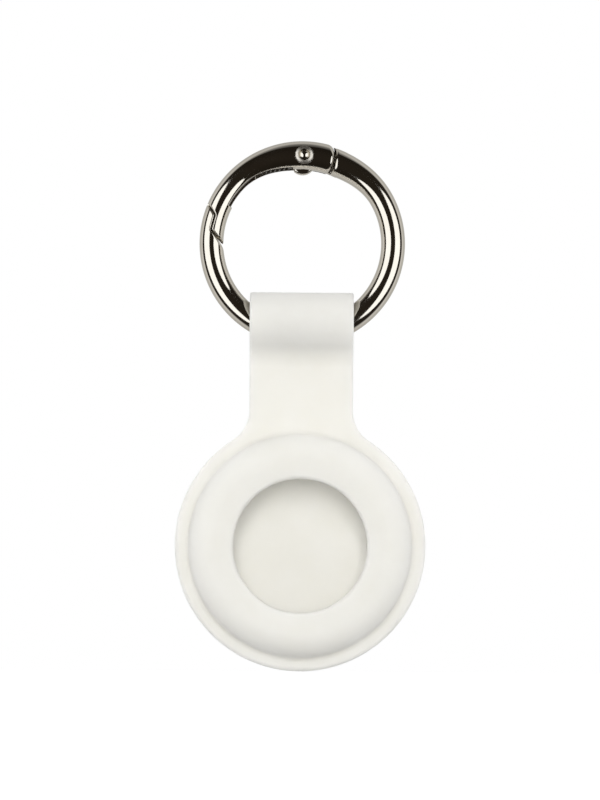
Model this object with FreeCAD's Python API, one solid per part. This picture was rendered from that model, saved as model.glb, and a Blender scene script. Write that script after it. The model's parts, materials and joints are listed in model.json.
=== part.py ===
# Tracker tag holder: a soft moulded pocket on a strap, hung by its eye in a spring gate ring.
# Millimetres. The origin is the centre of the gate ring, +Z points up along the strap,
# the front with the window faces -Y, and +X is to the right seen from the front.
# Angles on the ring are degrees from +X towards +Z.
import FreeCAD
import Part

import math
import os

from FreeCAD import Placement, Rotation, Vector

# Gate ring: a round bar that swells towards the hinge on its inner side
RING_INNER_DIAMETER = 25.0
BAR_DIAMETER = 3.8
HINGE_BAR_DIAMETER = 4.8
HINGE_ANGLE = 89.1
SWELL_START_ANGLE = 30.0
SWELL_FULL_ANGLE = 70.0
SWELL_END_ANGLE = 137.0
SWELL_SECTIONS = 5
SHOULDER_INSET = 0.22

# Latch: the gate's nose laps inside the horn of the ring along a stepped seam
HORN_TIP_ANGLE = 157.8
LAP_START_ANGLE = 162.7
LAP_START_OFFSET = 0.19
LAP_END_ANGLE = 171.9
LAP_END_OFFSET = 0.32
NOSE_TIP_ANGLE = 180.6
NOSE_RELIEF_ANGLE = 183.5
LATCH_GAP = 0.28

# Hinge: a tongue of the ring runs inside the forked tail of the gate
PIVOT_DEPTH = 2.35
TAIL_RADIUS = 4.7
TAIL_GAP = 0.42
TONGUE_THICKNESS = 1.6
TONGUE_SIDE_CLEARANCE = 0.12
TONGUE_ROOT = 1.0
TONGUE_INSET = 0.25
ROOT_CLEARANCE = 0.1
ROOT_INSET = 0.05
EYELET_RADIUS = 2.02
EYELET_SHIFT = 0.42
EYELET_DROP = 1.0
HEEL_DISTANCE = 2.0
GATE_WEB = 0.65
WEB_CLEARANCE = 0.2
GROOVE_WIDTH = 2.4
GROOVE_DEPTH = 0.6
GROOVE_START_ANGLE = 97.5
GROOVE_END_ANGLE = 153.2

# Rivet: fixed in the cheeks of the gate, turning in the tongue
RIVET_DIAMETER = 1.5
RIVET_HEAD_DIAMETER = 2.8
RIVET_HEAD_THICKNESS = 0.5
RIVET_DOME_DIAMETER = 1.64
RIVET_DOME_HEIGHT = 0.4
RIVET_LIP_DIAMETER = 1.84
RIVET_LIP_DEPTH = 0.06
RIVET_RIM_DEPTH = 0.33
RIVET_RIM_BULGE = 0.055
RIVET_BACK_ROUND = 0.2
RIVET_SEAT_CLEARANCE = 0.12
RIVET_SINK = 0.45
RIVET_HOLE_CLEARANCE = 0.01
RUNNING_CLEARANCE = 0.06

# Plunger and spring: they lie in the gate and press on the heel of the tongue
PLUNGER_TILT_ANGLE = 10.0
PLUNGER_OFFSET = 1.0
PLUNGER_HEAD_DIAMETER = 1.4
PLUNGER_HEAD_LENGTH = 0.8
PLUNGER_NOSE_RADIUS = 1.2
PLUNGER_NOSE_GAP = 0.03
PLUNGER_STEM_DIAMETER = 0.7
PLUNGER_STEM_LENGTH = 2.4
SPRING_DIAMETER = 1.5
SPRING_WIRE = 0.25
SPRING_LENGTH = 5.3
SPRING_TURNS = 7
SPRING_SEAT_GAP = 0.02

# Pocket: a round cup for the tag, open at the front in a window
POCKET_DIAMETER = 32.0
POCKET_DEPTH = 8.0
POCKET_WALL = 1.6
WINDOW_DIAMETER = 21.0
WINDOW_RIM_ROUND = 0.6
FRONT_HEIGHT = 4.4
FRONT_ROUND_SHARE = 0.92
BACK_ROUND_SHARE = 0.9
FLOOR_DISH = 0.9

# Flange and strap: one plate round the pocket and up to the eye
FLANGE_DIAMETER = 39.6
STRAP_WIDTH = 16.4
STRAP_THICKNESS = 2.8
STRAP_REACH = 35.0
NECK_FILLET = 5.6
EDGE_ROUND = 0.6

# Eye: the tube at the top of the strap that the ring passes through
EYE_CLEARANCE = 0.15
EYE_WALL = 1.22
EYE_RISE = 0.29
EYE_FILLET = 2.2
EYE_MOUTH_ROUND = 0.3

# Every cut runs past the surface by this much
OVERRUN = 1.0

# Spring points in each turn on which its least gap to itself is measured
POINTS_PER_TURN = 48

X_AXIS = Vector(1, 0, 0)
Y_AXIS = Vector(0, 1, 0)
QUARTER_TURN = 90.0
FULL_TURN = 360.0

# Sizes of the ring that follow from the values above
RING_INNER_RADIUS = RING_INNER_DIAMETER / 2
RING_MIDDLE_RADIUS = RING_INNER_RADIUS + BAR_DIAMETER / 2
RING_OUTER_RADIUS = RING_INNER_RADIUS + BAR_DIAMETER
PIVOT_RADIUS = RING_OUTER_RADIUS - PIVOT_DEPTH
CHANNEL_WIDTH = TONGUE_THICKNESS + 2 * TONGUE_SIDE_CLEARANCE
CHANNEL_RADIUS = RING_OUTER_RADIUS - GATE_WEB
SHOULDER_RADIUS = TAIL_RADIUS + TAIL_GAP
RIVET_SEAT = HINGE_BAR_DIAMETER / 2 - RIVET_SINK
BAR_DEPTH = HINGE_BAR_DIAMETER + 2 * OVERRUN
SPRING_START = HEEL_DISTANCE + PLUNGER_NOSE_GAP + PLUNGER_HEAD_LENGTH
SPRING_SEAT = SPRING_START + SPRING_LENGTH

# The swing axis lies midway between the highest and the lowest point of the bar inside the eye
BAR_TOP_IN_EYE = -math.sqrt(RING_INNER_RADIUS ** 2 - (STRAP_WIDTH / 2) ** 2)
EYE_Z = (BAR_TOP_IN_EYE - RING_OUTER_RADIUS) / 2
EYE_RADIUS = (BAR_TOP_IN_EYE + RING_OUTER_RADIUS) / 2 + EYE_CLEARANCE
POCKET_Z = EYE_Z - STRAP_REACH

# The pocket's faces along Y, from the window to the back
FRONT_Y = -STRAP_THICKNESS / 2 - FRONT_HEIGHT
LIP_Y = FRONT_Y + POCKET_WALL
FLOOR_Y = LIP_Y + POCKET_DEPTH
BACK_Y = FLOOR_Y + POCKET_WALL


def polar(radius, angle):
    """Return the point of the ring's plane at a radius and an angle in degrees."""
    turn = math.radians(angle)
    return Vector(radius * math.cos(turn), 0, radius * math.sin(turn))


def toward(start, end, length):
    """Return the point at a length from start on the way to end."""
    return start + (end - start).normalize() * length


def arc_middle(centre, start, end):
    """Return the middle of the shorter arc between two points about a centre."""
    both = (start - centre) + (end - centre)
    return centre + both.normalize() * (start - centre).Length


def outline(*steps):
    """Return a closed wire: a point is reached by a line, a pair (via, end) by an arc."""
    first = steps[0]
    last = first
    edges = []
    for step in steps[1:] + (first,):
        if isinstance(step, tuple):
            via, end = step
            edges.append(Part.Arc(last, via, end).toShape())
            last = end
        elif step.distanceToPoint(last) > 0:
            edges.append(Part.LineSegment(last, step).toShape())
            last = step
    return Part.Wire(edges)


def slab(wire, thickness):
    """Return a plate of the ring's plane, as thick as asked, with its middle at y = 0."""
    face = Part.Face(wire)
    face.translate(-Y_AXIS * (thickness / 2))
    return face.extrude(Y_AXIS * thickness)


def disc(centre, radius, thickness):
    """Return a cylinder along Y with its middle at y = 0."""
    return Part.makeCylinder(radius, thickness, centre - Y_AXIS * (thickness / 2), Y_AXIS)


def turned(wire, axis):
    """Return the solid that a profile makes when it turns about an axis through the origin."""
    return Part.Face(wire).revolve(Vector(), axis, FULL_TURN)


PIVOT = polar(PIVOT_RADIUS, HINGE_ANGLE)

# The hinge frame: its X runs along the plunger towards the latch, its Z towards the ring's inside
HINGE_TURN = HINGE_ANGLE + QUARTER_TURN + PLUNGER_TILT_ANGLE
HINGE_FRAME = Placement(PIVOT, Rotation(Y_AXIS, -HINGE_TURN))


def in_hinge_frame(shape):
    """Return a shape modelled in the hinge frame, moved to its place in the ring."""
    moved = shape.copy()
    moved.Placement = HINGE_FRAME.multiply(shape.Placement)
    return moved


def hinge_block(start, end):
    """Return a block across the bar between two distances along the plunger's way."""
    reach = 2 * RING_OUTER_RADIUS
    corner = Vector(start, -BAR_DEPTH / 2, -reach)
    return in_hinge_frame(Part.makeBox(end - start, BAR_DEPTH, 2 * reach, corner))


def bar_section(angle, swell, inset):
    """Return the circle of the bar at an angle, for a share of the full swell and its inset all round."""
    outer = RING_OUTER_RADIUS - swell * inset
    inner = RING_INNER_RADIUS - swell * (HINGE_BAR_DIAMETER - BAR_DIAMETER - inset)
    circle = Part.Circle(Vector((outer + inner) / 2, 0, 0), Vector(0, 0, 1), (outer - inner) / 2)
    wire = Part.Wire(circle.toShape())
    wire.rotate(Vector(), Y_AXIS, -angle)
    return wire


def swell_sections(inset):
    """Return the circles of the swelling, from the plain bar up to the hinge and down again."""
    sides = []
    for start_angle, full_angle in ((SWELL_START_ANGLE, SWELL_FULL_ANGLE), (SWELL_END_ANGLE, HINGE_ANGLE)):
        side = []
        for index in range(SWELL_SECTIONS):
            share = index / (SWELL_SECTIONS - 1)
            smooth_share = share * share * (3 - 2 * share)
            side.append(bar_section(start_angle + share * (full_angle - start_angle), smooth_share, inset))
        sides.append(side)
    rising, falling = sides
    between = bar_section((SWELL_FULL_ANGLE + HINGE_ANGLE) / 2, 1, inset)
    return rising + [between] + falling[::-1]


def ring_bar(inset):
    """Return a whole round bar, which is thinner by the inset all round where it is swollen."""
    plain = Part.Face(bar_section(SWELL_END_ANGLE, 0, inset))
    plain_angle = FULL_TURN - (SWELL_END_ANGLE - SWELL_START_ANGLE)
    plain = plain.revolve(Vector(), Y_AXIS, -plain_angle)
    swell = Part.makeLoft(swell_sections(inset), True, False)
    return plain.fuse(swell)


def gate_sector(shift, tip_angle):
    """Return the sector from the hinge to the stepped seam, which ends at an angle, moved inwards by shift."""
    horn_tip = polar(RING_OUTER_RADIUS, HORN_TIP_ANGLE)
    lap_start = polar(RING_MIDDLE_RADIUS + LAP_START_OFFSET, LAP_START_ANGLE)
    lap_end = polar(RING_MIDDLE_RADIUS + LAP_END_OFFSET, LAP_END_ANGLE)
    nose_tip = polar(RING_INNER_RADIUS, tip_angle)
    outside = toward(lap_start, horn_tip, (horn_tip - lap_start).Length + OVERRUN)
    inside = toward(lap_end, nose_tip, (nose_tip - lap_end).Length + OVERRUN)
    seam = [point + X_AXIS * shift for point in (outside, lap_start, lap_end, inside)]
    far = 2 * RING_OUTER_RADIUS
    middle_angle = (HINGE_ANGLE + HORN_TIP_ANGLE) / 2
    corners = [Vector(), polar(far, HINGE_ANGLE), polar(far, middle_angle)]
    return slab(outline(*corners, *seam), BAR_DEPTH)


def tongue_band(outer_radius):
    """Return the curved flat bar of the tongue, from inside the shoulder to the hinge."""
    inner_radius = RING_OUTER_RADIUS - HINGE_BAR_DIAMETER + TONGUE_INSET
    root_angle = HINGE_ANGLE - math.degrees((SHOULDER_RADIUS + TONGUE_ROOT) / PIVOT_RADIUS)
    middle_angle = (root_angle + HINGE_ANGLE) / 2
    return slab(outline(
        polar(inner_radius, root_angle),
        polar(outer_radius, root_angle),
        (polar(outer_radius, middle_angle), polar(outer_radius, HINGE_ANGLE)),
        polar(inner_radius, HINGE_ANGLE),
        (polar(inner_radius, middle_angle), polar(inner_radius, root_angle)),
    ), TONGUE_THICKNESS)


def tongue():
    """Return the tongue: high at its root, low inside the fork, and with a flat heel on its eyelet."""
    outer_radius = CHANNEL_RADIUS - WEB_CLEARANCE
    root = tongue_band(RING_OUTER_RADIUS - SHOULDER_INSET - ROOT_INSET)
    root = root.cut(disc(PIVOT, TAIL_RADIUS + ROOT_CLEARANCE, BAR_DEPTH))
    eyelet_centre = HINGE_FRAME.multVec(Vector(EYELET_SHIFT, 0, EYELET_DROP))
    eyelet = disc(eyelet_centre, EYELET_RADIUS, TONGUE_THICKNESS)
    eyelet = eyelet.common(hinge_block(-2 * EYELET_RADIUS, HEEL_DISTANCE))
    crown = disc(PIVOT, outer_radius - PIVOT_RADIUS, TONGUE_THICKNESS)
    hole = disc(PIVOT, RIVET_DIAMETER / 2 + RUNNING_CLEARANCE, BAR_DEPTH)
    return tongue_band(outer_radius).fuse([root, eyelet, crown]).removeSplitter().cut(hole)


def ring_body():
    """Return the fixed part of the ring, from the horn of the latch round to the tongue."""
    body = ring_bar(SHOULDER_INSET).cut(gate_sector(0, NOSE_RELIEF_ANGLE))
    body = body.cut(disc(PIVOT, SHOULDER_RADIUS, BAR_DEPTH))
    return body.fuse(tongue())


def ring_gate():
    """Return the gate: a forked tail round the tongue, a grooved arm and a solid nose."""
    bar = ring_bar(0)
    arm = bar.common(gate_sector(LATCH_GAP, NOSE_TIP_ANGLE))
    tail = bar.common(disc(PIVOT, TAIL_RADIUS, BAR_DEPTH))
    chamber = disc(Vector(), CHANNEL_RADIUS, CHANNEL_WIDTH)
    chamber = chamber.common(hinge_block(-TAIL_RADIUS - OVERRUN, SPRING_SEAT))
    groove_radius = RING_INNER_RADIUS + GROOVE_DEPTH
    groove_middle_angle = (GROOVE_START_ANGLE + GROOVE_END_ANGLE) / 2
    groove = slab(outline(
        Vector(),
        polar(groove_radius, GROOVE_START_ANGLE),
        (polar(groove_radius, groove_middle_angle), polar(groove_radius, GROOVE_END_ANGLE)),
    ), GROOVE_WIDTH)
    hole = disc(PIVOT, RIVET_DIAMETER / 2 + RIVET_HOLE_CLEARANCE, BAR_DEPTH)
    gate = arm.fuse(tail).cut(chamber).cut(groove).cut(hole)
    seat_radius = RIVET_HEAD_DIAMETER / 2 + RIVET_SEAT_CLEARANCE
    for side in (Y_AXIS, -Y_AXIS):
        gate = gate.cut(Part.makeCylinder(seat_radius, BAR_DEPTH, PIVOT + side * RIVET_SEAT, side))
    return gate


def pivot_rivet():
    """Return the rivet: two heads on a shank, the front one with a rolled rim round a small dome."""
    shank = RIVET_DIAMETER / 2
    head = RIVET_HEAD_DIAMETER / 2
    dome = RIVET_DOME_DIAMETER / 2
    lip = RIVET_LIP_DIAMETER / 2
    edge = RIVET_BACK_ROUND
    end = RIVET_SEAT + RIVET_HEAD_THICKNESS
    back_corner = Vector(head - edge, end - edge, 0)
    diagonal = edge * math.sqrt(0.5)
    dome_radius = (dome ** 2 + RIVET_DOME_HEIGHT ** 2) / (2 * RIVET_DOME_HEIGHT)
    dome_centre = Vector(0, -end + dome_radius, 0)
    dome_foot = Vector(dome, -end + RIVET_DOME_HEIGHT, 0)
    apex = Vector(0, -end, 0)
    rim_start = Vector(lip, -end + RIVET_LIP_DEPTH, 0)
    rim_end = Vector(head, -end + RIVET_RIM_DEPTH, 0)
    rim_middle = (rim_start + rim_end) / 2
    rim_outward = (rim_end - rim_start).cross(Vector(0, 0, 1)).normalize()
    profile = outline(
        apex,
        (arc_middle(dome_centre, apex, dome_foot), dome_foot),
        rim_start,
        (rim_middle + rim_outward * RIVET_RIM_BULGE, rim_end),
        Vector(head, -RIVET_SEAT, 0),
        Vector(shank, -RIVET_SEAT, 0),
        Vector(shank, RIVET_SEAT, 0),
        Vector(head, RIVET_SEAT, 0),
        Vector(head, end - edge, 0),
        (back_corner + Vector(diagonal, diagonal, 0), Vector(head - edge, end, 0)),
        Vector(0, end, 0),
    )
    rivet = turned(profile, Y_AXIS)
    rivet.translate(PIVOT)
    return rivet


def spring_plunger():
    """Return the plunger: a round-nosed head that bears on the heel, and a stem in the spring."""
    head = PLUNGER_HEAD_DIAMETER / 2
    stem = PLUNGER_STEM_DIAMETER / 2
    nose = PLUNGER_NOSE_RADIUS
    tip = HEEL_DISTANCE + PLUNGER_NOSE_GAP
    nose_depth = nose - math.sqrt(nose ** 2 - head ** 2)
    nose_centre = Vector(tip + nose, 0, 0)
    nose_start = Vector(tip, 0, 0)
    nose_end = Vector(tip + nose_depth, head, 0)
    stem_end = SPRING_START + PLUNGER_STEM_LENGTH
    profile = outline(
        nose_start,
        (arc_middle(nose_centre, nose_start, nose_end), nose_end),
        Vector(SPRING_START, head, 0),
        Vector(SPRING_START, stem, 0),
        Vector(stem_end, stem, 0),
        Vector(stem_end, 0, 0),
    )
    plunger = turned(profile, X_AXIS)
    plunger.translate(Vector(0, 0, PLUNGER_OFFSET))
    return in_hinge_frame(plunger)


def helix_point(turn):
    """Return a point of the spring's middle line and its direction, after a number of turns."""
    radius = (SPRING_DIAMETER - SPRING_WIRE) / 2
    start = SPRING_START + SPRING_WIRE / 2 + SPRING_SEAT_GAP
    end = SPRING_SEAT - SPRING_WIRE / 2 - SPRING_SEAT_GAP
    rise = (end - start) / SPRING_TURNS
    angle = 2 * math.pi * turn
    across = Vector(0, radius * math.cos(angle), radius * math.sin(angle) + PLUNGER_OFFSET)
    around = Vector(rise / (2 * math.pi), -radius * math.sin(angle), radius * math.cos(angle))
    return X_AXIS * (start + rise * turn) + across, around.normalize()


def tangent_arc(start, corner, end):
    """Return the arc from start to end that is tangent to the lines to their corner."""
    half_chord = (end - start) / 2
    middle = start + half_chord
    bend = (corner - start).getAngle(end - corner)
    via = toward(middle, corner, half_chord.Length * math.tan(bend / 4))
    return Part.Arc(start, via, end).toShape()


def biarc(first, second):
    """Return two tangent arcs between two points of the spring with their directions."""
    start, leaving = first
    end, arriving = second
    span = end - start
    along = span.dot(leaving + arriving)
    opening = 2 * (1 - leaving.dot(arriving))
    reach = (math.sqrt(along ** 2 + opening * span.dot(span)) - along) / opening
    first_corner = start + leaving * reach
    second_corner = end - arriving * reach
    joint = (first_corner + second_corner) / 2
    return [tangent_arc(start, first_corner, joint), tangent_arc(joint, second_corner, end)]


def gate_spring():
    """Return the compression spring: one tube wound on arcs of a quarter turn."""
    stations = [helix_point(quarter / 4) for quarter in range(4 * SPRING_TURNS + 1)]
    edges = []
    for first, second in zip(stations, stations[1:]):
        edges += biarc(first, second)
    path = Part.Wire(edges)
    start, leaving = stations[0]
    section = Part.Wire(Part.Circle(start, leaving, SPRING_WIRE / 2).toShape())
    return in_hinge_frame(path.makePipeShell([section], True, False))


def spring_gap():
    """Return the spring's least gap to itself, measured between points of neighbouring turns."""
    count = SPRING_TURNS * POINTS_PER_TURN
    points = [helix_point(index / POINTS_PER_TURN)[0] for index in range(count + 1)]
    half_turn = POINTS_PER_TURN // 2
    least = min(
        one.distanceToPoint(other)
        for index, one in enumerate(points)
        for other in points[index + half_turn:]
    )
    return least - SPRING_WIRE


def rounded_rims(solid, radius, on_rim):
    """Return a solid with every edge that on_rim picks rounded off."""
    return solid.makeFillet(radius, [edge for edge in solid.Edges if on_rim(edge.BoundBox)])


def eye_fillet_centre():
    """Return the centre of the fillet behind the eye, where the eye runs out into the strap."""
    radius = EYE_RADIUS + EYE_WALL + EYE_FILLET
    y = STRAP_THICKNESS / 2 + EYE_FILLET
    return Vector(0, y, EYE_Z + EYE_RISE - math.sqrt(radius ** 2 - y ** 2))


def strap_and_flange():
    """Return the plate of the strap and the flange, with rounded rims."""
    half = STRAP_WIDTH / 2
    flange = FLANGE_DIAMETER / 2
    top = eye_fillet_centre().z
    pocket = Vector(0, 0, POCKET_Z)
    neck_x = half + NECK_FILLET
    neck_z = POCKET_Z + math.sqrt((flange + NECK_FILLET) ** 2 - neck_x ** 2)
    sides = {}
    for side in (-1, 1):
        centre = Vector(side * neck_x, 0, neck_z)
        upper = Vector(side * half, 0, neck_z)
        lower = toward(pocket, centre, flange)
        sides[side] = (upper, arc_middle(centre, upper, lower), lower)
    left_upper, left_via, left_lower = sides[-1]
    right_upper, right_via, right_lower = sides[1]
    plate = slab(outline(
        Vector(-half, 0, top),
        left_upper,
        (left_via, left_lower),
        (pocket - Vector(0, 0, flange), right_lower),
        (right_via, right_upper),
        Vector(half, 0, top),
    ), STRAP_THICKNESS)
    middle = (top + POCKET_Z) / 2
    return rounded_rims(plate, EDGE_ROUND, lambda box: box.YLength < EDGE_ROUND and box.ZMin < middle)


def eye_outside():
    """Return the outside of the eye, down to where it is as thin as the strap."""
    half = STRAP_WIDTH / 2
    radius = EYE_RADIUS + EYE_WALL
    centre = Vector(-half, 0, EYE_Z + EYE_RISE)
    back_centre = eye_fillet_centre() - X_AXIS * half
    back_foot = back_centre - Y_AXIS * EYE_FILLET
    back_meet = toward(centre, back_centre, radius)
    back_via = arc_middle(back_centre, back_foot, back_meet)

    def mirrored(point):
        return Vector(point.x, -point.y, point.z)

    profile = outline(
        back_foot,
        (back_via, back_meet),
        (centre + Vector(0, 0, radius), mirrored(back_meet)),
        (mirrored(back_via), mirrored(back_foot)),
    )
    tube = Part.Face(profile).extrude(X_AXIS * STRAP_WIDTH)
    return rounded_rims(tube, EDGE_ROUND, lambda box: box.XLength < EDGE_ROUND and box.ZLength > EDGE_ROUND)


def eye_bore():
    """Return the bore of the eye, which opens out at both mouths."""
    mouth = STRAP_WIDTH / 2
    edge = EYE_MOUTH_ROUND
    wide = EYE_RADIUS + edge
    right = Vector(mouth - edge, wide, 0)
    right_inner = Vector(mouth - edge, EYE_RADIUS, 0)
    right_outer = Vector(mouth, wide, 0)
    right_via = arc_middle(right, right_inner, right_outer)
    left_via = Vector(-right_via.x, right_via.y, 0)
    profile = outline(
        Vector(-mouth - OVERRUN, 0, 0),
        Vector(-mouth - OVERRUN, wide, 0),
        Vector(-mouth, wide, 0),
        (left_via, Vector(-mouth + edge, EYE_RADIUS, 0)),
        right_inner,
        (right_via, right_outer),
        Vector(mouth + OVERRUN, wide, 0),
        Vector(mouth + OVERRUN, 0, 0),
    )
    bore = turned(profile, X_AXIS)
    bore.translate(Vector(0, 0, EYE_Z))
    return bore


def back_round():
    """Return the radius of the rounded rim of the pocket's back."""
    return BACK_ROUND_SHARE * (BACK_Y - STRAP_THICKNESS / 2)


def pocket_outside():
    """Return the pocket as a full round body with a domed front and back."""
    radius = POCKET_DIAMETER / 2 + POCKET_WALL
    front = FRONT_ROUND_SHARE * FRONT_HEIGHT
    back = back_round()
    front_centre = Vector(radius - front, FRONT_Y + front, 0)
    front_start = Vector(radius, FRONT_Y + front, 0)
    front_end = Vector(radius - front, FRONT_Y, 0)
    back_centre = Vector(radius - back, BACK_Y - back, 0)
    back_start = Vector(radius - back, BACK_Y, 0)
    back_end = Vector(radius, BACK_Y - back, 0)
    profile = outline(
        Vector(0, BACK_Y, 0),
        back_start,
        (arc_middle(back_centre, back_start, back_end), back_end),
        front_start,
        (arc_middle(front_centre, front_start, front_end), front_end),
        Vector(0, FRONT_Y, 0),
    )
    body = turned(profile, Y_AXIS)
    body.translate(Vector(0, 0, POCKET_Z))
    return body


def pocket_inside():
    """Return the space for the tag, with its dished floor and the window's rounded rim."""
    radius = POCKET_DIAMETER / 2
    window = WINDOW_DIAMETER / 2
    rim = WINDOW_RIM_ROUND
    front = FRONT_ROUND_SHARE * FRONT_HEIGHT - POCKET_WALL
    back = back_round() - POCKET_WALL
    floor_edge = Vector(radius - back, FLOOR_Y - FLOOR_DISH, 0)
    floor_radius = (floor_edge.x ** 2 + FLOOR_DISH ** 2) / (2 * FLOOR_DISH)
    floor_start = Vector(0, FLOOR_Y, 0)
    floor_centre = Vector(0, FLOOR_Y - floor_radius, 0)
    back_centre = Vector(radius - back, floor_edge.y - back, 0)
    back_end = Vector(radius, floor_edge.y - back, 0)
    front_centre = Vector(radius - front, LIP_Y + front, 0)
    front_start = Vector(radius, LIP_Y + front, 0)
    front_end = Vector(radius - front, LIP_Y, 0)
    rim_centre = Vector(window + rim, FRONT_Y + rim, 0)
    rim_start = Vector(window, FRONT_Y + rim, 0)
    rim_end = Vector(window + rim, FRONT_Y, 0)
    profile = outline(
        floor_start,
        (arc_middle(floor_centre, floor_start, floor_edge), floor_edge),
        (arc_middle(back_centre, floor_edge, back_end), back_end),
        front_start,
        (arc_middle(front_centre, front_start, front_end), front_end),
        Vector(window, LIP_Y, 0),
        rim_start,
        (arc_middle(rim_centre, rim_start, rim_end), rim_end),
        Vector(window + rim, FRONT_Y - OVERRUN, 0),
        Vector(0, FRONT_Y - OVERRUN, 0),
    )
    space = turned(profile, Y_AXIS)
    space.translate(Vector(0, 0, POCKET_Z))
    return space


def silicone_holder():
    """Return the soft moulding: the pocket, the flange, the strap and the eye in one."""
    solid = strap_and_flange().fuse([eye_outside(), pocket_outside()]).removeSplitter()
    return solid.cut(pocket_inside()).cut(eye_bore())


def main():
    """Build every piece and write each to a STEP file named after it."""
    os.makedirs("parts", exist_ok=True)
    pieces = {
        "silicone_holder": silicone_holder(),
        "ring_body": ring_body(),
        "ring_gate": ring_gate(),
        "pivot_rivet": pivot_rivet(),
        "gate_spring": gate_spring(),
        "spring_plunger": spring_plunger(),
    }
    for name, shape in pieces.items():
        shape.exportStep(os.path.join("parts", name + ".step"))
        print(f"{name}: {len(shape.Solids)} solid, {shape.Volume:.2f} mm3, valid {shape.isValid()}")
    print(f"least gap of the spring to itself: {spring_gap():.3f} mm")


main()
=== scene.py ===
# %% [markdown]
# # A tracker tag holder on a spring gate ring
# The object is a soft white pocket with a round window, moulded in one with its strap and eye,
# and hung on a polished ring whose gate springs shut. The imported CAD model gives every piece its
# place and every joint its axis, so this lesson only makes the pieces look like what they are:
# matt silicone, polished nickel and oiled spring wire, under plain soft studio light.

# %% Load the frame
import json
import math

import bpy
import numpy as np
from mathutils import Matrix, Quaternion, Vector


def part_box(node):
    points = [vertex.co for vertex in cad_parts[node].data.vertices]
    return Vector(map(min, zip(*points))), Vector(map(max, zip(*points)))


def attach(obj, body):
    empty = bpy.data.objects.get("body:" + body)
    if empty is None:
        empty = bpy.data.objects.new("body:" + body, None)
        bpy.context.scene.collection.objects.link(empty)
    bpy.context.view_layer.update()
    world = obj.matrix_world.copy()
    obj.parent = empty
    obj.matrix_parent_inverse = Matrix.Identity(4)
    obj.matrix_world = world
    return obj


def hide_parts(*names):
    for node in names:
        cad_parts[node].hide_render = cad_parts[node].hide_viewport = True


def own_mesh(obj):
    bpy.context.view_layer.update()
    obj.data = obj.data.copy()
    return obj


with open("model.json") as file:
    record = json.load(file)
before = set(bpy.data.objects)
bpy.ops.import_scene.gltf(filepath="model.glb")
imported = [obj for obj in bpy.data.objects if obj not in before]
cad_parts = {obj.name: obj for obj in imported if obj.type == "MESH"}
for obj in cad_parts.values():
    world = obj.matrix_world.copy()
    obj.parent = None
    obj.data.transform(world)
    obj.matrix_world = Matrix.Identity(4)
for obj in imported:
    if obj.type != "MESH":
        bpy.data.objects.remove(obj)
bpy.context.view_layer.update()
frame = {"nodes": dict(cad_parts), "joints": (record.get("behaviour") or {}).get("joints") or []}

JOINTS = {joint["name"]: joint for joint in frame["joints"]}
print("nodes:", sorted(frame["nodes"]))
print("joints:", sorted(JOINTS))

# %% [markdown]
# ## Small helpers for colours and nodes
# Colours are given as sRGB hex values, as on any screen, but shaders work in linear light,
# so one function turns the one into the other. Another adds a node to a tree, sets it and links it.
# It serves materials, the world and Geometry Nodes alike, which keeps every tree short to read.

# %% Colour and node helpers
MM = 0.001


def linear(hex_colour):
    """Return the linear RGBA colour of an sRGB hex value such as #F0EFEA."""
    channels = [int(hex_colour[start:start + 2], 16) / 255 for start in (1, 3, 5)]
    light = [c / 12.92 if c <= 0.04045 else ((c + 0.055) / 1.055) ** 2.4 for c in channels]
    return (*light, 1.0)


def give(tree, node, inputs):
    """Give each named input of a node its value, or a link from another node."""
    for socket, value in inputs.items():
        if isinstance(value, bpy.types.NodeSocket):
            tree.links.new(value, node.inputs[socket])
        else:
            node.inputs[socket].default_value = value


def add_node(tree, kind, inputs=None, **settings):
    """Add a node to a tree, set its properties and give it its inputs."""
    made = tree.nodes.new(kind)
    for name, value in settings.items():
        setattr(made, name, value)
    give(tree, made, inputs or {})
    return made


def new_material(name):
    """Return a new material, its node tree, its Principled shader and its Object coordinates."""
    material = bpy.data.materials.new(name)
    material.use_nodes = True
    tree = material.node_tree
    coordinates = add_node(tree, "ShaderNodeTexCoord")
    return material, tree, tree.nodes["Principled BSDF"], coordinates.outputs["Object"]


print("warm white in linear light:", [round(c, 3) for c in linear("#F0EFEA")])

# %% [markdown]
# ## Nodes that come up again and again
# Each finish starts from a noise and turns it into a roughness, a bump or a colour. One short function
# for each step hands back the socket that the next one needs, so a material reads like its description.

# %% Helpers for common nodes
def maths(tree, operation, *values):
    """Add a Math node for some numbers or links, and return its result."""
    return add_node(tree, "ShaderNodeMath", dict(enumerate(values)), operation=operation).outputs[0]


def noise(tree, place, size, detail, roughness=0.5):
    """Add a noise with lumps of a given size, and return its value."""
    return add_node(tree, "ShaderNodeTexNoise", {
        "Vector": place, "Scale": 1 / size, "Detail": detail, "Roughness": roughness}).outputs["Fac"]


def ranged(tree, value, to_range, from_range=(0.0, 1.0)):
    """Add a change of range, and return the value in the new range."""
    return add_node(tree, "ShaderNodeMapRange", {
        "Value": value, "From Min": from_range[0], "From Max": from_range[1],
        "To Min": to_range[0], "To Max": to_range[1]}).outputs["Result"]


def bump(tree, height, depth, strength, **under):
    """Add a bump of a given depth, and return the normal that it makes."""
    return add_node(tree, "ShaderNodeBump", {
        "Height": height, "Distance": depth, "Strength": strength, **under}).outputs["Normal"]


def colour_ramp(tree, place, first, last, *between):
    """Add a ramp of colours, given as pairs of position and hex value, and return its colour."""
    made = add_node(tree, "ShaderNodeValToRGB", {"Fac": place})
    elements = made.color_ramp.elements
    for element, (position, colour) in zip(elements, (first, last)):
        element.position = position
        element.color = linear(colour)
    for position, colour in between:
        elements.new(position).color = linear(colour)
    return made.outputs["Color"]


print("five node helpers ready")

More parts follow.
